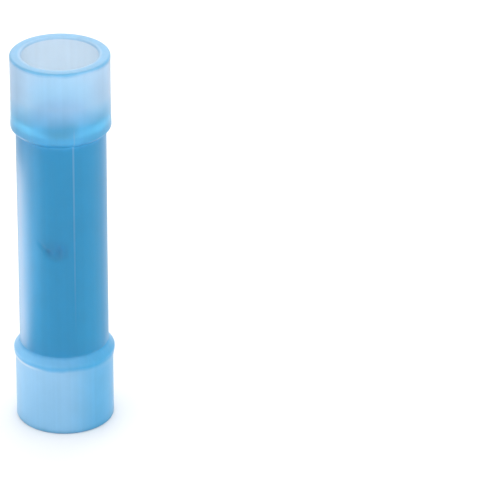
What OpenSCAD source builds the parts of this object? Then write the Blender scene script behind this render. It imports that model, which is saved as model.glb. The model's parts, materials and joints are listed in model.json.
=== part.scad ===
// Nylon-insulated butt splice connector: a translucent sleeve with a belled
// mouth at each end, over a tin-plated copper crimp barrel that takes a
// stripped wire from each side. Millimetres, +Z up. The connector stands on
// its lower mouth, and the origin is at the centre of that mouth's rim.

/* [Crimp barrel] */
// Length of the metal barrel
barrel_length = 15; // [14:0.5:20]
// Outside diameter of the barrel
barrel_od = 4.2; // [4:0.05:4.4]
// Diameter of the bore that takes the stripped wire
wire_bore = 2.6; // [2.4:0.05:2.8]
// Countersink at each mouth of the wire bore
barrel_countersink = 0.3; // [0.15:0.05:0.4]
// Bevel on the outer edge of each end of the barrel
barrel_bevel = 0.12; // [0.05:0.01:0.2]
// Width of the brazed seam's groove, outside and inside
seam_width = 0.26; // [0.1:0.02:0.4]
// Depth of the brazed seam's groove, outside and inside
seam_depth = 0.09; // [0.04:0.01:0.15]

/* [Serrations] */
// Grooves that bite the wire, in each half of the bore
serration_count = 3; // [0:1:3]
// Depth of each groove
serration_depth = 0.2; // [0.16:0.01:0.3]
// Width of each groove at the bore
serration_width = 0.4; // [0.3:0.02:0.46]
// Width of each groove at its floor
serration_floor = 0.2; // [0.1:0.02:0.26]
// Distance from one groove to the next
serration_pitch = 1.3; // [0.9:0.05:1.35]
// Distance from the barrel's end to the first groove
serration_start = 1.6; // [1:0.1:1.7]

/* [Wire stop] */
// How far the punch goes in from the barrel's outside
stop_depth = 1.4; // [1.2:0.05:1.6]
// Radius of the punch's round tip
stop_tip = 0.32; // [0.25:0.01:0.5]
// Angle of the punch's side from its own axis
stop_draft = 18; // [15:1:26]
// Thickness of the metal that the punch pushes in ahead of it
stop_skin = 0.45; // [0.4:0.01:0.5]
// Depth of the dish where the barrel's wall turns down into the stop
dish_depth = 0.22; // [0.1:0.02:0.3]
// Radius of the dish's ball form
dish_radius = 2.4; // [2:0.1:3]
// How far the whole wall round the stop is drawn in with it
waist_draw = 0.05; // [0.02:0.01:0.08]
// Length of the barrel that is drawn in
waist_length = 3; // [2.6:0.1:3.2]

/* [Insulating sleeve] */
// Radial clearance between the barrel and the sleeve
seat_clearance = 0.02; // [0.01:0.01:0.05]
// Wall of the sleeve over the barrel
body_wall = 0.83; // [0.7:0.01:0.9]
// Bore of each bell, which takes the wire's insulation
bell_bore = 5; // [4.9:0.05:5.6]
// Wall of each bell
bell_wall = 0.75; // [0.7:0.01:0.9]
// Length of the lower bell, from its shoulder's crest to its mouth
bell_length = 5; // [3:0.1:8]
// Length of the lower shoulder, from the neck to its crest
lower_shoulder = 0.6; // [0.4:0.05:1]
// Length of the upper shoulder, from the neck to its crest
upper_shoulder = 0.4; // [0.3:0.05:0.6]
// How far the upper neck stands above the barrel's end
upper_neck_rise = 0.3; // [0:0.05:0.4]
// How far the upper shoulder's crest stands proud of its bell
upper_crest = 0.03; // [0.01:0.01:0.12]
// How far the lower shoulder's crest stands proud of its bell
lower_crest = 0.1; // [0.01:0.01:0.14]
// Radius of each shoulder's crest
crest_radius = 0.2; // [0.12:0.01:0.24]
// Length over which a crest fades into its bell
crest_fade = 0.8; // [0.5:0.05:1.5]
// Length of the funnel that leads from the bell's bore to the barrel
funnel_length = 0.8; // [0.5:0.05:1.2]
// Radius on the outer edge of each mouth
mouth_round = 0.14; // [0.08:0.01:0.2]
// Radius on the inner edge of each mouth
mouth_inner_round = 0.12; // [0.08:0.01:0.2]

/* [Dent over the stop] */
// Depth of the dent that the punch leaves in the sleeve
dent_depth = 0.1; // [0.04:0.01:0.15]
// Radius of the dent's ball form
dent_radius = 5; // [3:0.1:8]

/* [Hidden] */
$fn = 96;
nylon_colour = [0.40, 0.70, 0.90, 0.6];
tin_colour = [0.78, 0.79, 0.80];
// Steps in each curved stretch of a turned profile
arc_steps = 5;
waist_steps = 6;
// How far a cut runs past the surface that it opens
overrun = 1;

barrel_r = barrel_od / 2;
bore_r = wire_bore / 2;
mid_wall_r = (barrel_r + bore_r) / 2;
half_barrel = barrel_length / 2;
half_waist = waist_length / 2;
seat_r = barrel_r + seat_clearance;
body_r = seat_r + body_wall;
bell_bore_r = bell_bore / 2;
bell_r = bell_bore_r + bell_wall;
half_length = half_barrel + lower_shoulder + bell_length;
serration_slope = (serration_width - serration_floor) / 2;

// Points of an arc round a centre in the profile plane, from one angle to another
function arc(centre, r, from, to) =
    [for (i = [0:arc_steps])
        let (a = from + (to - from) * i / arc_steps)
        centre + r * [cos(a), sin(a)]];

// A path of the upper half, turned over for the lower half
function flipped(path) = [for (i = [len(path) - 1:-1:0]) [path[i].x, -path[i].y]];

// A smooth fall from 1 to 0 as the share goes from 0 to 1
function fall(share) = (1 + cos(180 * share)) / 2;

function waist_point(r, i) =
    [r - waist_draw * fall(i / waist_steps), half_waist * i / waist_steps];

// One serration of the bore, met from the mouth side
function serration(k) =
    let (top = half_barrel - serration_start - k * serration_pitch)
    [[bore_r, top],
     [bore_r + serration_depth, top - serration_slope],
     [bore_r + serration_depth, top - serration_width + serration_slope],
     [bore_r, top - serration_width]];

serrations = [for (k = [0:1:serration_count - 1]) each serration(k)];

// The barrel's wall above its middle: up the outside, over the end, down the bore
barrel_upper = concat(
    [for (i = [1:waist_steps]) waist_point(barrel_r, i)],
    [[barrel_r, half_barrel - barrel_bevel],
     [barrel_r - barrel_bevel, half_barrel],
     [bore_r + barrel_countersink, half_barrel],
     [bore_r, half_barrel - barrel_countersink]],
    serrations,
    [for (i = [waist_steps:-1:1]) waist_point(bore_r, i)]);

barrel_profile = concat(
    [waist_point(barrel_r, 0)],
    barrel_upper,
    [waist_point(bore_r, 0)],
    flipped(barrel_upper));

// The shoulder is a cone from the neck that is tangent to its crest's arc
function shoulder(neck, crest_z, crest) =
    let (centre = [bell_r + crest - crest_radius, crest_z],
         reach = centre - neck,
         cone_angle = atan2(reach.y, reach.x) - asin(crest_radius / norm(reach)))
    concat([neck], arc(centre, crest_radius, cone_angle - 90, 0));

// Behind its crest the bell fades into a straight side
function crest_back(crest_z, crest) =
    [for (i = [1:arc_steps])
        [bell_r + crest * fall(i / arc_steps), crest_z + crest_fade * i / arc_steps]];

mouth_edge = concat(
    arc([bell_r - mouth_round, half_length - mouth_round], mouth_round, 0, 90),
    arc([bell_bore_r + mouth_inner_round, half_length - mouth_inner_round],
        mouth_inner_round, 90, 180));

funnel = [[bell_bore_r, half_barrel + funnel_length], [seat_r, half_barrel]];

// The sleeve's wall above the neck: out over the bell, round its mouth, down the bore
function sleeve_half(neck_z, shoulder_length, crest) =
    let (crest_z = neck_z + shoulder_length)
    concat(
        shoulder([body_r, neck_z], crest_z, crest),
        crest_back(crest_z, crest),
        mouth_edge,
        funnel);

sleeve_profile = concat(
    sleeve_half(half_barrel + upper_neck_rise, upper_shoulder, upper_crest),
    flipped(sleeve_half(half_barrel, lower_shoulder, lower_crest)));

// Lifts what is modelled about the connector's middle, so that it stands on the origin
module standing() {
    translate([0, 0, half_length]) children();
}

// A ball that dips to a given depth into a round surface, on its -Y side
module ball_dip(surface_r, depth, ball_r) {
    translate([0, depth - surface_r - ball_r, 0]) sphere(ball_r);
}

// The stop's punch along -Y, with a skin of metal round it
module stop_punch(skin) {
    tip_r = stop_tip + skin;
    tip_y = barrel_r - stop_depth + stop_tip;
    run = barrel_r + overrun - tip_y;
    side = tip_r * cos(stop_draft) + (run + tip_r * sin(stop_draft)) * tan(stop_draft);
    translate([0, -tip_y, 0])
        rotate([90, 0, 0])
            rotate_extrude()
                polygon(concat(arc([0, 0], tip_r, -90, -stop_draft), [[side, run], [0, run]]));
}

// The V groove where the rolled strip's edges meet, along +Y at a given radius
module seam_groove(r) {
    translate([0, r, 0])
        linear_extrude(barrel_length + 2 * overrun, center = true)
            polygon([[-seam_width / 2, 0], [0, -seam_depth], [seam_width / 2, 0], [0, seam_depth]]);
}

// A turned sleeve: a straight body between two shoulders, bells and mouths
module insulating_sleeve() {
    color(nylon_colour)
        standing()
            difference() {
                rotate_extrude() polygon(sleeve_profile);
                ball_dip(body_r, dent_depth, dent_radius);
            }
}

// A rolled and brazed tube with serrations inside and a stop punched in at its middle
module crimp_barrel() {
    color(tin_colour)
        standing()
            difference() {
                union() {
                    rotate_extrude() polygon(barrel_profile);
                    intersection() {
                        stop_punch(stop_skin);
                        cylinder(h = waist_length, r = mid_wall_r, center = true);
                    }
                }
                stop_punch(0);
                ball_dip(barrel_r, dish_depth, dish_radius);
                seam_groove(barrel_r);
                seam_groove(bore_r);
            }
}

insulating_sleeve();
crimp_barrel();
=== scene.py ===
# %% [markdown]
# # A nylon butt splice connector
#
# A butt splice joins two wires end to end. It is two pieces: a short tube of
# tin-plated copper, which a tool crimps round the stripped wires, and a
# translucent blue nylon sleeve with a wide bell at each end for the wires'
# insulation. This lesson dresses a measured model of one, so nothing here
# moves or resizes it. The two pieces are turned again as fine, smooth meshes,
# because light that bends through plastic shows every flat facet.

# %% Load the measured model
import json
import math

import bmesh
import bpy
from mathutils import Matrix, Vector, noise


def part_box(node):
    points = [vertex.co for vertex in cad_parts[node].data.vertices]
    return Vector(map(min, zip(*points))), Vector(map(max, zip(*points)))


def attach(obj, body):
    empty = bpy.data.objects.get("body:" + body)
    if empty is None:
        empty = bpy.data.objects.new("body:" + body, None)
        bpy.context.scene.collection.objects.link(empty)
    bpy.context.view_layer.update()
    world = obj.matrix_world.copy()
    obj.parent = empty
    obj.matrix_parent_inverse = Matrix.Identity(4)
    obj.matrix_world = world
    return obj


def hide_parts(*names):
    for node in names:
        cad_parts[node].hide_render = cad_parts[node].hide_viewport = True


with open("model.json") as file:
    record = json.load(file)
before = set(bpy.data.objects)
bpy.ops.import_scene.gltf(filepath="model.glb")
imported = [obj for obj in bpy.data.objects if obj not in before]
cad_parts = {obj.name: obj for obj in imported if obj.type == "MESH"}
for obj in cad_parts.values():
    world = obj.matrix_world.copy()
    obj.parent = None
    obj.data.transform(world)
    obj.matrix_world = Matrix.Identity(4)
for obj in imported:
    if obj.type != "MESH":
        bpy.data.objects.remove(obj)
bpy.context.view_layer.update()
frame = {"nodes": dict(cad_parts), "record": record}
MM = 0.001

# %% [markdown]
# ## Sizes from the model
#
# Every size could be typed in again, but then a change to the model would
# leave the picture behind. Instead the radii are read off the measured nodes:
# a turned piece has rings of points, so all the radii at one height are the
# distances of the points near that height from the Z axis. The bores come from
# the record's mounts, which state them in millimetres.

# %% Read the sizes
RING_REACH = 0.03 * MM


def ring_radii(node, height):
    """The smallest and largest radius of a node's points near a height."""
    points = [v.co for v in frame["nodes"][node].data.vertices]
    radii = [p.xy.length for p in points if abs(p.z - height) < RING_REACH]
    return min(radii), max(radii)


mounts = {mount["name"]: mount for mount in frame["record"]["mounts"]}
sleeve_low, sleeve_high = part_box("insulating_sleeve")
barrel_low, barrel_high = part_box("crimp_barrel")

middle_z = (sleeve_low.z + sleeve_high.z) / 2
half_length = sleeve_high.z - middle_z
half_barrel = barrel_high.z - middle_z
barrel_r = barrel_high.x
wire_bore_r = mounts["upper_wire_bore"]["dims"]["r_mm"] * MM
bell_bore_r = mounts["upper_insulation_socket"]["dims"]["r_mm"] * MM
seat_r, body_r = ring_radii("insulating_sleeve", barrel_low.z)
print("body", round(2 * body_r / MM, 2), "mm across, barrel", round(2 * barrel_r / MM, 2))

# %% [markdown]
# ## From a profile to a turned mesh
#
# Both pieces are turned shapes. A lathe modifier would do, but a bmesh spin
# gives the finished faces at once: a closed outline of points in the XZ plane
# is swept a full turn round Z, and the last ring is merged with the first.
# The outline is the only list that has to be written, and its round stretches
# are arcs.

# %% Helpers for an outline
ARC_STEPS = 6


def arc(centre, radius, start, end):
    """Points of an arc in the profile plane, with its angles in degrees."""
    turn = [math.radians(start + (end - start) * i / ARC_STEPS) for i in range(ARC_STEPS + 1)]
    return [(centre[0] + radius * math.cos(a), centre[1] + radius * math.sin(a)) for a in turn]


def rows(start, end, count):
    """The points between two ends of a straight stretch, without the ends."""
    return [tuple(a + (b - a) * i / count for a, b in zip(start, end)) for i in range(1, count)]


def flipped(path):
    """A path of the upper half, turned over for the lower half."""
    return [(r, -z) for r, z in reversed(path)]


def bell_curve(distance):
    """A smooth fall from 1 at the centre to 0 at a distance of 1."""
    return (1 + math.cos(math.pi * min(distance, 1))) / 2


# %% [markdown]
# Pressed and wavy features come after the spin, by moving points. That needs
# many points, but a boolean would leave a hard rim where the real piece has a
# soft one. A finished mesh is shaded smooth, apart from edges that turn by more
# than a set angle, and takes its measured node's place.

# %% Helpers for turned meshes
TURN_STEPS = 320
SHARP_ANGLE = math.radians(34)


def turned(profile):
    """A bmesh spun a full turn from a closed outline of (radius, height) points."""
    bm = bmesh.new()
    ring = [bm.verts.new((r, 0, middle_z + z)) for r, z in profile]
    edges = [bm.edges.new(pair) for pair in zip(ring, ring[1:] + ring[:1])]
    bmesh.ops.spin(
        bm, geom=ring + edges, cent=(0, 0, 0), axis=(0, 0, 1),
        angle=math.tau, steps=TURN_STEPS, use_merge=True, use_duplicate=False,
    )
    bmesh.ops.recalc_face_normals(bm, faces=bm.faces)
    return bm


def sink(vert, depth):
    """Moves a point towards the Z axis."""
    radius = vert.co.xy.length
    vert.co.x *= 1 - depth / radius
    vert.co.y *= 1 - depth / radius


def finished(bm, name, node):
    """Makes the object of a mesh that stands for a measured node."""
    for face in bm.faces:
        face.smooth = True
    for edge in bm.edges:
        edge.smooth = edge.calc_face_angle(math.pi) < SHARP_ANGLE
    mesh = bpy.data.meshes.new(name)
    bm.to_mesh(mesh)
    bm.free()
    piece = bpy.data.objects.new(name, mesh)
    bpy.context.collection.objects.link(piece)
    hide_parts(node)
    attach(piece, "root")
    print(name, "has", len(mesh.polygons), "faces")
    return piece


# %% [markdown]
# ## The nylon sleeve
#
# On the real connector the sleeve is one extruded tube whose ends are swelled
# into bells over a heated tool. Each bell meets the body in a short sloping
# shoulder with a rounded crest, and the lower crest stands a little proud. The
# outline runs up the outside of the upper half, over the mouth's rounded edge
# and back down the bore, and the lower half is the same outline turned over.
# Its smallest sizes can't be read off the nodes, so they are typed in again.

# %% Turn the sleeve
MOUTH_ROUND = 0.14 * MM
bell_r = ring_radii("insulating_sleeve", sleeve_high.z - MOUTH_ROUND)[1]
lower_crest = sleeve_high.x - bell_r
UPPER_CREST = 0.03 * MM
UPPER_NECK_RISE = 0.3 * MM
UPPER_SHOULDER = 0.4 * MM
LOWER_SHOULDER = 0.6 * MM
CREST_RADIUS = 0.2 * MM
CREST_FADE = 0.8 * MM
FADE_ROWS = 10
FUNNEL_LENGTH = 0.8 * MM
MOUTH_INNER_ROUND = 0.12 * MM
DENT_ROWS = 30
DENT_HALF_HEIGHT = 1.15 * MM
BODY_ROWS = 24
BELL_ROWS = 12


def sleeve_half(neck_z, shoulder, crest):
    """The upper half's outline, for a neck, a shoulder's length and its crest."""
    dent_end = (body_r, DENT_HALF_HEIGHT)
    neck = (body_r, neck_z)
    crest_z = neck_z + shoulder
    centre = Vector((bell_r + crest - CREST_RADIUS, crest_z))
    reach = centre - Vector(neck)
    lean = math.asin(CREST_RADIUS / reach.length)
    slope = math.degrees(math.atan2(reach.y, reach.x) - lean)
    fade = [
        (bell_r + crest * bell_curve(i / FADE_ROWS), crest_z + CREST_FADE * i / FADE_ROWS)
        for i in range(1, FADE_ROWS + 1)
    ]
    outer_edge = arc((bell_r - MOUTH_ROUND, half_length - MOUTH_ROUND), MOUTH_ROUND, 0, 90)
    inner_centre = (bell_bore_r + MOUTH_INNER_ROUND, half_length - MOUTH_INNER_ROUND)
    inner_edge = arc(inner_centre, MOUTH_INNER_ROUND, 90, 180)
    funnel = [(bell_bore_r, half_barrel + FUNNEL_LENGTH), (seat_r, half_barrel)]
    return (
        rows((body_r, 0), dent_end, DENT_ROWS) + [dent_end]
        + rows(dent_end, neck, BODY_ROWS) + [neck]
        + arc(centre, CREST_RADIUS, slope - 90, 0)
        + fade + rows(fade[-1], outer_edge[0], BELL_ROWS) + outer_edge
        + inner_edge + funnel
    )


upper_half = sleeve_half(half_barrel + UPPER_NECK_RISE, UPPER_SHOULDER, UPPER_CREST)
lower_half = sleeve_half(half_barrel, LOWER_SHOULDER, lower_crest)
sleeve_outline = upper_half + flipped(lower_half)
sleeve_mesh = turned(sleeve_outline)
print("the sleeve's outline has", len(sleeve_outline), "points")

# %% [markdown]
# Where the punch has made the wire stop, the nylon over it is drawn in a
# little, and soft creases run round the mark. Swelling and drawing also leave
# the outside faintly uneven, longer along the tube than round it. A height
# texture could fake both, but its shading would not bend the light that passes
# the wall. So points are moved, always inwards, which keeps the sleeve at its
# measured size, and less towards the mouths, whose edges were trimmed true.
# Each point also keeps how deep its crease is, for the material's painted shade in the creases.

# %% Press the dent and the unevenness
DENT_DEPTH = 0.1 * MM
DENT_HALF_WIDTH = 0.75 * MM
CREASES = (
    # mm across, mm up, lean in degrees, half its length, half its width, depth in mm
    (-0.36, 0.20, -40, 0.46, 0.36, 0.10),
    (-0.74, 0.55, -47, 0.66, 0.32, 0.05),
    (0.38, 0.30, 82, 0.70, 0.36, 0.08),
)
WAVE_DEPTH = 0.022 * MM
WAVE_LENGTH = 1.5 * MM
WAVE_STRETCH = 0.3
WAVE_FADE = 1.2 * MM
DEEPEST_CREASE = max(crease[-1] for crease in CREASES) * MM
pressed = sleeve_mesh.verts.layers.float.new("pressed")


def creased(spot):
    """How deep the creases round the punch's mark are at a spot on the front."""
    depth = 0
    for across, up, lean, half_long, half_wide, deep in CREASES:
        away = spot / MM - Vector((across, up))
        away.rotate(Matrix.Rotation(math.radians(-lean), 2))
        reach = Vector((away.x / half_long, away.y / half_wide)).length
        depth = max(depth, deep * MM * bell_curve(reach))
    return depth


for vert in sleeve_mesh.verts:
    height = vert.co.z - middle_z
    if vert.co.xy.length < body_r - RING_REACH:
        continue
    place = Vector((vert.co.x, vert.co.y, vert.co.z * WAVE_STRETCH)) / WAVE_LENGTH
    fade = min((half_length - abs(height)) / WAVE_FADE, 1)
    sink(vert, WAVE_DEPTH * fade * (1 + noise.noise(place)) / 2)
    if vert.co.y < 0:
        spot = Vector((vert.co.x, height))
        away = Vector((spot.x / DENT_HALF_WIDTH, spot.y / DENT_HALF_HEIGHT)).length
        crease = creased(spot)
        vert.co.y += DENT_DEPTH * bell_curve(away) + crease
        vert[pressed] = crease / DEEPEST_CREASE

sleeve = finished(sleeve_mesh, "nylon_sleeve", "insulating_sleeve")

# %% [markdown]
# ## The crimp barrel
#
# The barrel is rolled from strip, brazed along its seam and tin plated. It
# shows through the nylon, and its end shows down the mouth, so it is made as
# carefully as the sleeve: countersunk mouths, three serration grooves in each
# half of the bore, and the stop that keeps a wire from passing the middle.

# %% Turn the barrel
COUNTERSINK = 0.3 * MM
BEVEL = 0.12 * MM
SERRATION_COUNT = 3
SERRATION_DEPTH = 0.2 * MM
SERRATION_WIDTH = 0.4 * MM
SERRATION_FLOOR = 0.2 * MM
SERRATION_PITCH = 1.3 * MM
SERRATION_START = 1.6 * MM
HALF_WAIST = 1.5 * MM
WAIST_DRAW = 0.05 * MM
WAIST_ROWS = 30


def waist(radius):
    """The stretch that the punch draws in, from the middle up."""
    heights = [HALF_WAIST * i / WAIST_ROWS for i in range(1, WAIST_ROWS + 1)]
    return [(radius - WAIST_DRAW * bell_curve(z / HALF_WAIST), z) for z in heights]


def serrations():
    """The grooves in the upper half of the bore, met from the mouth."""
    slope = (SERRATION_WIDTH - SERRATION_FLOOR) / 2
    floor_r = wire_bore_r + SERRATION_DEPTH
    path = []
    for k in range(SERRATION_COUNT):
        top = half_barrel - SERRATION_START - k * SERRATION_PITCH
        path += [(wire_bore_r, top), (floor_r, top - slope)]
        path += [(floor_r, top - SERRATION_WIDTH + slope), (wire_bore_r, top - SERRATION_WIDTH)]
    return path


barrel_half = (
    waist(barrel_r)
    + [(barrel_r, half_barrel - BEVEL), (barrel_r - BEVEL, half_barrel)]
    + [(wire_bore_r + COUNTERSINK, half_barrel), (wire_bore_r, half_barrel - COUNTERSINK)]
    + serrations()
    + waist(wire_bore_r)[::-1]
)
barrel_outline = barrel_half + flipped(barrel_half)
barrel_mesh = turned(barrel_outline)
print("the barrel's outline has", len(barrel_outline), "points")

# %% [markdown]
# The stop and the seam are pressed into the turned tube. The punch pushes the
# outer wall in and the inner wall ahead of it, and the metal between them is
# thinned to a skin, so the inner wall moves less. The tip ends just short of
# the axis, where it stops a wire of any size. The seam is a fine groove down
# the far side, where the strip's edges meet.

# %% Punch the stop and press the seam
STOP_DEPTH = 1.4 * MM
STOP_TIP_R = 0.32 * MM
STOP_RIM_R = 0.78 * MM
STOP_SKIN = 0.45 * MM
DISH_DEPTH = 0.12 * MM
DISH_RADIUS = 1.3 * MM
SEAM_HALF_WIDTH = 0.13 * MM
SEAM_DEPTH = 0.09 * MM
barrel_wall = barrel_r - wire_bore_r

for vert in barrel_mesh.verts:
    outside = vert.co.xy.length > barrel_r - barrel_wall / 2
    if vert.co.y < 0:
        away = Vector((vert.co.x, vert.co.z - middle_z)).length
        depth = STOP_DEPTH if outside else STOP_DEPTH + STOP_SKIN - barrel_wall
        share = max(away - STOP_TIP_R, 0) / (STOP_RIM_R - STOP_TIP_R)
        dish = DISH_DEPTH * bell_curve(away / DISH_RADIUS) * (1 - bell_curve(share))
        vert.co.y += depth * bell_curve(share) + dish
    elif outside and abs(vert.co.x) < SEAM_HALF_WIDTH:
        vert.co.y -= SEAM_DEPTH * bell_curve(abs(vert.co.x) / SEAM_HALF_WIDTH)

barrel = finished(barrel_mesh, "tinned_barrel", "crimp_barrel")

# %% [markdown]
# ## Shader maths as sums
#
# A material is a graph, but most of it is arithmetic. It could be wired one
# Math node at a time, which hides the sum that it stands for. A small class
# wraps a socket instead, so that a sum such as 1 - mask * 0.3 adds its own
# nodes.

# %% A socket that can stand in a sum


class Shade:
    """A socket that can stand in a sum: each operator adds a Math node."""

    def __init__(self, graph, socket):
        self.graph = graph
        self.socket = socket

    def __add__(self, other):
        return self.graph.math("ADD", self, other)

    def __sub__(self, other):
        return self.graph.math("SUBTRACT", self, other)

    def __rsub__(self, other):
        return self.graph.math("SUBTRACT", other, self)

    def __mul__(self, other):
        return self.graph.math("MULTIPLY", self, other)

    __radd__ = __add__
    __rmul__ = __mul__


# %% [markdown]
# Everything that is not a sum comes from one method, which takes a node's type,
# then its settings, then the values or links of its sockets. It could be a
# separate function for each kind of node, but one place that makes nodes is
# enough to read and to check.

# %% A node tree under construction


class Tree:
    """A node tree under construction."""

    def __init__(self, tree):
        self.tree = tree
        tree.nodes.clear()

    def node(self, kind, settings=None, inputs=None, output=0):
        """Adds a node: its settings first, then its sockets' values or links."""
        made = self.tree.nodes.new(kind)
        for name, value in (settings or {}).items():
            if name == "stops":
                self.set_stops(made.color_ramp, value)
            else:
                setattr(made, name, value)
        for name, value in (inputs or {}).items():
            if isinstance(value, Shade):
                self.tree.links.new(value.socket, made.inputs[name])
            else:
                made.inputs[name].default_value = value
        return Shade(self, made.outputs[output])

    def set_stops(self, ramp, stops):
        """Gives a colour ramp its (position, colour) stops."""
        while len(ramp.elements) < len(stops):
            ramp.elements.new(1)
        for element, (position, colour) in zip(ramp.elements, stops):
            element.position = position
            element.color = colour

    def math(self, operation, *values):
        """One Math node, which takes one or two values."""
        return self.node("ShaderNodeMath", {"operation": operation}, dict(enumerate(values)))

    def end_in(self, kind, shader):
        """Adds the output node that a tree ends in."""
        end = self.tree.nodes.new(kind)
        self.tree.links.new(shader.socket, end.inputs["Surface"])


# %% [markdown]
# The nodes that this connector's materials use get short names, so that a
# material reads as what it is and not as a list of node types.

# %% Names for the nodes in use


class Graph(Tree):
    """A node tree with a method for each kind of node that the materials use."""

    def ramp(self, value, start, end):
        """A smooth rise from 0 where the value is at start to 1 where it is at end."""
        settings = {"interpolation_type": "SMOOTHSTEP"}
        inputs = {"Value": value, "From Min": start, "From Max": end}
        return self.node("ShaderNodeMapRange", settings, inputs)

    def split(self, vector):
        """The three coordinates of a vector."""
        made = self.node("ShaderNodeSeparateXYZ", inputs={"Vector": vector})
        return [Shade(self, output) for output in made.socket.node.outputs]

    def place(self, scale=(1, 1, 1)):
        """Object coordinates, stretched by a scale on each axis."""
        where = self.node("ShaderNodeTexCoord", output="Object")
        return self.node("ShaderNodeMapping", inputs={"Vector": where, "Scale": scale})

    def noise(self, place, scale, detail=2.0):
        """Soft random values round one half, about as many to a metre as the scale."""
        inputs = {"Vector": place, "Scale": scale, "Detail": detail}
        return self.node("ShaderNodeTexNoise", inputs=inputs)

    def mix(self, factor, first, second):
        """A colour that goes from the first to the second as the factor goes from 0 to 1.

        A Mix node has a set of sockets with the same names for each type of data,
        so they are reached by number.
        """
        inputs = {0: factor, 6: first, 7: second}
        return self.node("ShaderNodeMix", {"data_type": "RGBA"}, inputs, output=2)

    def multiply(self, first, second):
        """The product of two colours, or of a colour and a number."""
        settings = {"data_type": "RGBA", "blend_type": "MULTIPLY"}
        inputs = {0: 1.0, 6: first, 7: second}
        return self.node("ShaderNodeMix", settings, inputs, output=2)

    def bump(self, height, strength, distance):
        """A normal that leans as a surface of that height would, over a distance in metres."""
        inputs = {"Height": height, "Strength": strength, "Distance": distance}
        return self.node("ShaderNodeBump", inputs=inputs, output="Normal")

    def principled(self, **values):
        """Ends a material in one Principled shader; a socket's name is given with underscores."""
        inputs = {name.replace("_", " "): value for name, value in values.items()}
        shader = self.node("ShaderNodeBsdfPrincipled", inputs=inputs)
        self.end_in("ShaderNodeOutputMaterial", shader)


def material(name):
    """A new material and its empty node tree."""
    made = bpy.data.materials.new(name)
    made.use_nodes = True
    return made, Graph(made.node_tree)


# %% [markdown]
# ## Blue nylon
#
# Unfilled nylon is milky: it lets light through but blurs what lies behind
# it. Plain glass would be too clear and plain plastic too solid, and a volume
# that scatters would take minutes to render. So each wall is a rough skin that
# passes part of the light and scatters the rest in its own colour. How much it
# passes belongs to the place: most at the upper bell, which lets light down
# into the mouth, and less over the barrel, at the lower bell and on the cut
# rims. The same skin is therefore made four times.
#
# Its colour follows the height, and these blues are painted light and shade on
# a nylon of one dye. Where the nylon lies on the barrel, light comes back
# through it a second time, and that deep blue is painted; where the bells stand
# free, the pale blue is painted light that passes the wall. The lower bell is
# painted a deeper blue than the upper as shade, the lower crest carries a dark
# band of painted shade, and the upper bell's foot is a deeper blue, painted
# shade where the barrel's end shows through. A colour ramp along Z holds these
# blues, with its stops in millimetres from the floor, and a little noise blurs
# their borders. Over it lie streaks from the extruder, a pale painted highlight
# line down the body, painted shade in the creases and a deeper blue on the
# right, painted shade where the lamps reach least.
# Reflections are tinted too, as they are from a dyed plastic whose haze lies
# just under the skin.

# %% Mix the blues of the nylon
# Painted light and shade: the deep blue over the metal, the crest's dark band, the upper foot's
# deeper blue and the deeper lower wall stand for how light falls on and passes through one dyed
# nylon.
OVER_METAL = (0.008, 0.32, 0.64, 1)
SHOULDER = (0.15, 0.49, 0.82, 1)
CREST_SHADE = (0.07, 0.42, 0.77, 1)
UPPER_FOOT_SHADE = (0.11, 0.57, 0.92, 1)
UPPER_WALL = (0.48, 0.71, 0.94, 1)
LOWER_TOP = (0.29, 0.58, 0.86, 1)
LOWER_WALL = (0.27, 0.60, 0.91, 1)
CUT_EDGE = (0.15, 0.485, 0.78, 1)
INNER_EDGE = (0.36, 0.62, 0.86, 1)
RIM_DEPTH = 0.3 * MM
LENGTH = sleeve_high.z - sleeve_low.z
LOW_END = barrel_low.z
HIGH_END = barrel_high.z

height_stops = [
    (0.05 * MM, CUT_EDGE),
    (0.3 * MM, LOWER_WALL),
    (LOW_END - 1.0 * MM, LOWER_TOP),
    (LOW_END - 0.72 * MM, CREST_SHADE),
    (LOW_END - 0.5 * MM, SHOULDER),
    (LOW_END - 0.15 * MM, SHOULDER),
    (LOW_END + 0.05 * MM, OVER_METAL),
    (HIGH_END + 0.15 * MM, OVER_METAL),
    (HIGH_END + 0.75 * MM, UPPER_FOOT_SHADE),
    (HIGH_END + 1.7 * MM, UPPER_FOOT_SHADE),
    (HIGH_END + 3.1 * MM, UPPER_WALL),
    (LENGTH - RIM_DEPTH, UPPER_WALL),
    (LENGTH - 0.08 * MM, CUT_EDGE),
]
print("the blue changes at", [round(level / MM, 2) for level, _ in height_stops], "mm")

# %% [markdown]
# The marks come next: how wide, how deep and how strong each one is. They are
# kept apart from the material that uses them, so that a mark can be tried
# stronger or weaker without reading the graph. One of them is a pale line under
# the lower crest, on its left, a painted highlight where the lamps on that side
# catch the crest.

# %% Size the marks in the nylon
# A deeper blue down the right side, painted shade where the lamps reach least.
SIDE_SHADE = (0.0, 0.42, 0.80, 1)
SIDE_SHADE_START = 0.2 * body_r
SIDE_SHADE_SHARE = 0.6
# A pale line down the body: a painted highlight, a reflection painted into the blue.
HIGHLIGHT_LINE = (0.35, 0.62, 0.85, 1)
HIGHLIGHT_LINE_SHARE = 0.34
HIGHLIGHT_LINE_TURN = math.radians(-63)
HIGHLIGHT_LINE_WIDTH = 0.1 * MM
HIGHLIGHT_LINE_FADE = 1.0 * MM
# Painted shade in the creases round the punch's mark.
CREASE_SHADE = (0.003, 0.24, 0.52, 1)
CREASE_SHADE_SHARE = 0.8
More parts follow.
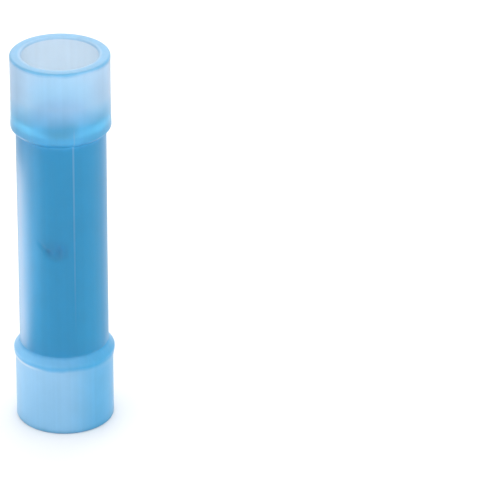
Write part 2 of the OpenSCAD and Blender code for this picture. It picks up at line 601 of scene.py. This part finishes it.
# A painted highlight under the lower crest, on the left side.
UNDER_CREST_HIGHLIGHT = (0.66, 0.80, 0.94, 1)
UNDER_CREST_HIGHLIGHT_SHARE = 0.8
UNDER_CREST_HIGHLIGHT_LEVEL = LOW_END - 0.93 * MM
UNDER_CREST_HIGHLIGHT_WIDTH = 0.17 * MM
UNDER_CREST_HIGHLIGHT_END = -0.5 * MM
UNDER_CREST_HIGHLIGHT_FULL = -2.2 * MM
STREAKS_PER_M = 3000
STREAK_STRETCH = 0.01
STREAK_SHARE = 0.15
NOISE_MIDDLE = 0.5
FINE_DETAIL = 3.0
CLOUD_PER_M = 700
MOTTLE_SHARE = 0.14
HEIGHT_BLUR = 0.3 * MM
FLOW_PER_M = 2200
FLOW_STRETCH = 0.12
FLOW_ROUGHNESS = 0.06
FLOW_HEIGHT = 0.4
BUMP_STRENGTH = 0.1
BUMP_HEIGHT = 0.02 * MM
# The line printed here is the painted highlight down the body.
print("the die line is", round(HIGHLIGHT_LINE_WIDTH / MM, 2), "mm to each side of its middle")

# %% [markdown]
# The skin's colour is laid on in coats: the blue that belongs to the height
# first, then each mark over it. A coat is a mix of two colours whose factor
# says where it lies, and two ramps multiplied make a patch that fades out both
# along the tube and round it.

# %% Lay the marks over the blue


def height_blue(graph, z, cloud):
    """The blue that belongs to each height, with its borders blurred."""
    height = (z + HEIGHT_BLUR * (cloud - NOISE_MIDDLE)) * (1 / LENGTH)
    stops = [(level / LENGTH, colour) for level, colour in height_stops]
    return graph.node("ShaderNodeValToRGB", {"stops": stops}, {"Fac": height})


def on_highlight_line(graph, x, y, z):
    """How strongly the pale painted highlight line down the body shows at a place."""
    along = x * math.cos(HIGHLIGHT_LINE_TURN) + y * math.sin(HIGHLIGHT_LINE_TURN)
    across = graph.math("ABSOLUTE", y * math.cos(HIGHLIGHT_LINE_TURN) - x * math.sin(HIGHLIGHT_LINE_TURN))
    on_line = graph.ramp(across, HIGHLIGHT_LINE_WIDTH, 0) * graph.ramp(along, 0, body_r)
    on_line = on_line * graph.ramp(z, LOW_END + HIGHLIGHT_LINE_FADE, HIGH_END)
    return on_line * graph.ramp(z, HIGH_END + 2 * HIGHLIGHT_LINE_FADE, HIGH_END + HIGHLIGHT_LINE_FADE)


def marked(graph, blue, x, y, z):
    """A blue with the marks laid over it, most of them painted light and shade."""
    # Painted shade down the right side, strongest low down.
    deep = graph.ramp(x, SIDE_SHADE_START, body_r) * graph.ramp(z, LENGTH, LOW_END)
    blue = graph.mix(SIDE_SHADE_SHARE * deep, blue, SIDE_SHADE)
    blue = graph.mix(HIGHLIGHT_LINE_SHARE * on_highlight_line(graph, x, y, z), blue, HIGHLIGHT_LINE)
    from_axis = graph.math("SQRT", x * x + y * y)
    inner = graph.ramp(from_axis, bell_bore_r + RIM_DEPTH, bell_bore_r)
    inner = inner * graph.ramp(z, LENGTH - RIM_DEPTH, LENGTH)
    blue = graph.mix(inner, blue, INNER_EDGE)
    # The creases are darkened with painted shade, by how deep each point was pressed.
    crease_shade = graph.node("ShaderNodeAttribute", {"attribute_name": "pressed"}, output="Fac")
    blue = graph.mix(CREASE_SHADE_SHARE * crease_shade, blue, CREASE_SHADE)
    # The painted highlight under the lower crest, fading in towards the left.
    off_level = graph.math("ABSOLUTE", z - UNDER_CREST_HIGHLIGHT_LEVEL)
    under_crest_highlight = graph.ramp(off_level, UNDER_CREST_HIGHLIGHT_WIDTH, 0) * graph.ramp(x, UNDER_CREST_HIGHLIGHT_END, UNDER_CREST_HIGHLIGHT_FULL)
    return graph.mix(UNDER_CREST_HIGHLIGHT_SHARE * under_crest_highlight, blue, UNDER_CREST_HIGHLIGHT)


# %% [markdown]
# How much light each stretch of the wall passes is one number on the shader's
# own socket, so the four skins differ in that number only. The roughness stays
# high, as it is what makes the nylon milky, and the sheen takes a blue tint.

# %% Make the nylon's outer skin
UPPER_CLEAR = 0.62
LOWER_CLEAR = 0.35
BODY_CLEAR = 0.5
RIM_CLEAR = 0.35
SKIN_ROUGHNESS = 0.29
SHEEN_TINT = (0.85, 0.92, 0.97, 1)
NYLON_IOR = 1.53


def make_skin(name, clear):
    """The outer skin of one stretch, which passes the given share of the light."""
    made, graph = material(name)
    cloud = graph.noise(graph.place(), CLOUD_PER_M, FINE_DETAIL)
    flow = graph.noise(graph.place((1, 1, FLOW_STRETCH)), FLOW_PER_M)
    streaks = graph.noise(graph.place((1, 1, STREAK_STRETCH)), STREAKS_PER_M, FINE_DETAIL)
    x, y, z = graph.split(graph.place())
    blue = marked(graph, height_blue(graph, z, cloud), x, y, z)
    streaky = STREAK_SHARE * (streaks - NOISE_MIDDLE)
    mottled = MOTTLE_SHARE * (cloud - NOISE_MIDDLE)
    grey = streaky + mottled + 1
    graph.principled(
        Base_Color=graph.multiply(blue, grey),
        Roughness=SKIN_ROUGHNESS + FLOW_ROUGHNESS * flow,
        IOR=NYLON_IOR,
        Transmission_Weight=clear,
        Specular_Tint=SHEEN_TINT,
        Normal=graph.bump(cloud + FLOW_HEIGHT * flow, BUMP_STRENGTH, BUMP_HEIGHT),
    )
    return made


# %% [markdown]
# The bore of each bell is nearly clear, so the pale inside of the skin lights
# it, and the barrel's end can be made out through the wall. It narrows to the
# barrel in a funnel, where the wall is thick; its strong blue is painted for
# the light that crosses that thickness. The hot tool that swelled the bells has
# left faint lines on both. Where the sleeve grips the barrel there is no air
# between them: an index of refraction of 1 on the seat's faces lets light pass
# from nylon to metal without bending.

# %% Make the nylon's bore, funnel and seat
WHITE = (1, 1, 1, 1)
BORE_TINT = (0.97, 0.99, 1.0, 1)
BORE_CLEAR = 1.0
BORE_ROUGHNESS = 0.14
# The funnel's strong blue is painted for light through the thick wall.
FUNNEL_BLUE = (0.05, 0.62, 0.95, 1)
FUNNEL_CLEAR = 0.5
TOOL_MARK_SHARE = 0.04


def make_inside(name, colour, clear, roughness):
    """A material for the faces inside a bell."""
    made, graph = material(name)
    flow = graph.noise(graph.place((1, 1, FLOW_STRETCH)), FLOW_PER_M)
    graph.principled(
        Base_Color=graph.multiply(colour, 1 - TOOL_MARK_SHARE * flow),
        Roughness=roughness + FLOW_ROUGHNESS * flow,
        IOR=NYLON_IOR,
        Transmission_Weight=clear,
    )
    return made


def make_seat():
    """A material for the faces that lie on the barrel, which light doesn't notice."""
    made, graph = material("nylon_seat")
    graph.principled(Base_Color=WHITE, Roughness=0.0, IOR=1.0, Transmission_Weight=1.0)
    return made


# %% [markdown]
# One mesh takes all seven materials. The faces could be picked by their number,
# but that breaks when a size changes. So each face finds its own from where it
# lies: the seat by its radius, the rims by their height, the bore and the
# funnel by facing the axis, and the rest by the stretch of the sleeve that they
# are in.

# %% Give each face of the sleeve its material
sleeve_materials = [
    make_skin("nylon_upper_bell", UPPER_CLEAR),
    make_skin("nylon_lower_bell", LOWER_CLEAR),
    make_skin("nylon_body", BODY_CLEAR),
    make_skin("nylon_rim", RIM_CLEAR),
    make_inside("nylon_bore", BORE_TINT, BORE_CLEAR, BORE_ROUGHNESS),
    make_inside("nylon_funnel", FUNNEL_BLUE, FUNNEL_CLEAR, SKIN_ROUGHNESS),
    make_seat(),
]
UPPER_BELL, LOWER_BELL, BODY, RIM, BORE, FUNNEL, SEAT = range(len(sleeve_materials))
for made in sleeve_materials:
    sleeve.data.materials.append(made)
for face in sleeve.data.polygons:
    centre = face.center
    radius = centre.xy.length
    level = abs(centre.z - middle_z)
    if abs(radius - seat_r) < RING_REACH:
        face.material_index = SEAT
    elif level > half_length - MOUTH_ROUND:
        face.material_index = RIM
    elif radius < bell_bore_r + RING_REACH and face.normal.xy.dot(centre.xy) < 0:
        face.material_index = BORE if level > half_barrel + FUNNEL_LENGTH else FUNNEL
    elif LOW_END < centre.z < HIGH_END + UPPER_NECK_RISE:
        face.material_index = BODY
    else:
        face.material_index = UPPER_BELL if centre.z > middle_z else LOWER_BELL

face_slots = [face.material_index for face in sleeve.data.polygons]
for number, made in enumerate(sleeve_materials):
    print(made.name, "is on", face_slots.count(number), "faces")

# %% [markdown]
# Light that crosses four rough walls needs more bounces than a plain scene,
# or the inside goes dark.

# %% Let light cross the walls
LIGHT_BOUNCES = 24
cycles = bpy.context.scene.cycles
cycles.max_bounces = LIGHT_BOUNCES
cycles.transmission_bounces = LIGHT_BOUNCES
print("light may bounce", LIGHT_BOUNCES, "times")

# %% [markdown]
# ## Tin plate
#
# Tin plating is a soft, slightly grey silver. Rolling and drawing leave fine
# lines along the tube, which a noise stretched along Z gives to the roughness
# and to a faint bump. The ends and the bore only ever meet light that the
# nylon has dyed, and that blue light is painted into their colour, brighter in
# the bore. The bore is also duller, because nothing has rubbed it smooth.

# %% Make the tin
TIN = (0.70, 0.72, 0.74, 1)
TIN_DULL = (0.58, 0.60, 0.62, 1)
# Painted blue light on the barrel's ends, and brighter painted light in its bore.
END_BLUE_LIGHT = (0.45, 0.67, 0.86, 1)
BORE_BLUE_LIGHT = (0.50, 0.76, 0.95, 1)
END_REACH = 0.2 * MM
TIN_ROUGHNESS = 0.34
LINE_ROUGHNESS = 0.12
BORE_DULLNESS = 0.4
LINES_PER_M = 9000
LINE_STRETCH = 0.04
LINE_STRENGTH = 0.3
LINE_HEIGHT = 0.004 * MM
STAINS_PER_M = 700


def make_tin():
    """Tin plate, with blue light painted on the barrel's ends and bore, and duller in its bore.
    """
    made, graph = material("tin_plate")
    lines = graph.noise(graph.place((1, 1, LINE_STRETCH)), LINES_PER_M)
    stain = graph.noise(graph.place(), STAINS_PER_M, FINE_DETAIL)
    x, y, z = graph.split(graph.place())
    level = graph.math("ABSOLUTE", z - middle_z)
    at_end = graph.ramp(level, half_barrel - END_REACH, half_barrel - END_REACH / 2)
    from_axis = graph.math("SQRT", x * x + y * y)
    in_bore = graph.ramp(from_axis, wire_bore_r + COUNTERSINK, wire_bore_r + END_REACH)
    plate = graph.mix(in_bore, graph.mix(stain, TIN, TIN_DULL), BORE_BLUE_LIGHT)
    graph.principled(
        Base_Color=graph.mix(at_end, plate, END_BLUE_LIGHT),
        Metallic=1.0,
        Roughness=LINE_ROUGHNESS * lines + BORE_DULLNESS * in_bore + TIN_ROUGHNESS,
        Normal=graph.bump(lines, LINE_STRENGTH, LINE_HEIGHT),
    )
    return made


barrel.data.materials.append(make_tin())
print(barrel.name, "is covered in", barrel.data.materials[0].name)

# %% [markdown]
# ## Floor and light
#
# The connector stands on a wide sheet of white paper. It could stand on
# nothing, with a white world behind it, but the paper keeps its soft shadow and
# sends light up into the lower bell.

# %% Lay the floor
FLOOR_SIDE = 3.0
PAPER = (0.9, 0.9, 0.9, 1)
PAPER_ROUGHNESS = 0.9


def make_paper():
    """Matt white paper."""
    made, graph = material("white_paper")
    graph.principled(Base_Color=PAPER, Roughness=PAPER_ROUGHNESS)
    return made


floor_mesh = bmesh.new()
bmesh.ops.create_grid(floor_mesh, x_segments=1, y_segments=1, size=FLOOR_SIDE / 2)
floor_data = bpy.data.meshes.new("paper_floor")
floor_mesh.to_mesh(floor_data)
floor_mesh.free()
floor = bpy.data.objects.new("paper_floor", floor_data)
floor_data.materials.append(make_paper())
bpy.context.collection.objects.link(floor)
print("the floor is", FLOOR_SIDE, "m wide")

# %% [markdown]
# The world is an even white, as inside a photographer's light tent. A picture
# of a real room would give livelier reflections, but a milky plastic blurs
# them all the same, and an even white shows each blue about as it was mixed.

# %% Set the world
WORLD_LIGHT = 1.25
world = bpy.data.worlds.new("studio")
world.use_nodes = True
bpy.context.scene.world = world
sky = Graph(world.node_tree)
light = sky.node("ShaderNodeBackground", inputs={"Color": WHITE, "Strength": WORLD_LIGHT})
sky.end_in("ShaderNodeOutputWorld", light)
print("the world's strength is", WORLD_LIGHT)

# %% [markdown]
# A lamp close on the left puts the pale band down that side of the body. Its
# beam is narrow, so that it draws the band without flooding the bells, and a
# weaker fill beside it softens the band's inner edge. A small lamp on the right
# lights that side of the upper bell, which is greyer than the left without it.
# A wide lamp behind shines through the bells, which makes the inside of the
# mouth the palest part, as in the photograph.

# %% Hang the softboxes
LAMP_TINT = (1.0, 0.83, 0.75)
LEFT_POWER = 0.00033
FILL_POWER = 0.0004
LEFT_SPREAD = 70
RIGHT_POWER = 0.00012
RIGHT_SPREAD = 50
BACK_POWER = 0.024


def softbox(name, turn, away, height, wide, tall, power, spread=180, aim_height=middle_z / MM):
    """A lamp aimed at the connector's axis, turned about it from the camera's side.

    Its place, its size and the height that it aims at are in mm. Its turn and
    the spread of its beam are in degrees.
    """
    data = bpy.data.lights.new(name, "AREA")
    data.shape = "RECTANGLE"
    data.color = LAMP_TINT
    data.size = wide * MM
    data.size_y = tall * MM
    data.energy = power
    data.spread = math.radians(spread)
    lamp = bpy.data.objects.new(name, data)
    bpy.context.collection.objects.link(lamp)
    lamp.visible_camera = False
    place = Matrix.Rotation(math.radians(-turn), 4, "Z") @ Vector((0, -away, height)) * MM
    aim = Vector((0, 0, aim_height)) * MM - place
    facing = aim.to_track_quat("-Z", "Y").to_matrix().to_4x4()
    lamp.matrix_world = Matrix.Translation(place) @ facing
    print(name, "is", round(place.length / MM), "mm away")


softbox(
    "left_softbox", turn=108, away=12, height=7, wide=20, tall=12,
    power=LEFT_POWER, spread=LEFT_SPREAD,
)
softbox(
    "left_fill", turn=65, away=25, height=7, wide=30, tall=16,
    power=FILL_POWER, spread=LEFT_SPREAD, aim_height=9,
)
softbox(
    "right_fill", turn=-60, away=20, height=26, wide=14, tall=6,
    power=RIGHT_POWER, spread=RIGHT_SPREAD, aim_height=23,
)
softbox("back_softbox", turn=178, away=90, height=70, wide=90, tall=60, power=BACK_POWER)

# %% [markdown]
# ## The camera
#
# The camera was found by fitting a pinhole to the rims and edges of the
# connector in the photograph: a long lens about 26 cm away, looking down by
# 27 degrees. The whole rig is then turned a little about the connector, so
# that the stop shows left of the middle as it does there.

# %% Place the camera
PHOTO_SIDE_PX = 500
FOCAL_PX = 3891
SENSOR = 36
LOOK_DOWN = math.radians(27.35)
ROLL = math.radians(0.49)
RIG_TURN = math.radians(9)
RIG_PLACE = Vector((12.26, -226.50, 129.34)) * MM
NEAR_CLIP = 10 * MM

camera_data = bpy.data.cameras.new("camera")
camera_data.sensor_width = SENSOR
camera_data.lens = SENSOR * FOCAL_PX / PHOTO_SIDE_PX
camera_data.clip_start = NEAR_CLIP
camera = bpy.data.objects.new("camera", camera_data)
bpy.context.collection.objects.link(camera)
camera.matrix_world = (
    Matrix.Rotation(RIG_TURN, 4, "Z")
    @ Matrix.Translation(RIG_PLACE)
    @ Matrix.Rotation(math.pi / 2 - LOOK_DOWN, 4, "X")
    @ Matrix.Rotation(ROLL, 4, "Z")
)
bpy.context.scene.camera = camera
bpy.context.scene.view_settings.view_transform = "Standard"
print("the lens is", round(camera_data.lens), "mm on a sensor of", SENSOR, "mm")
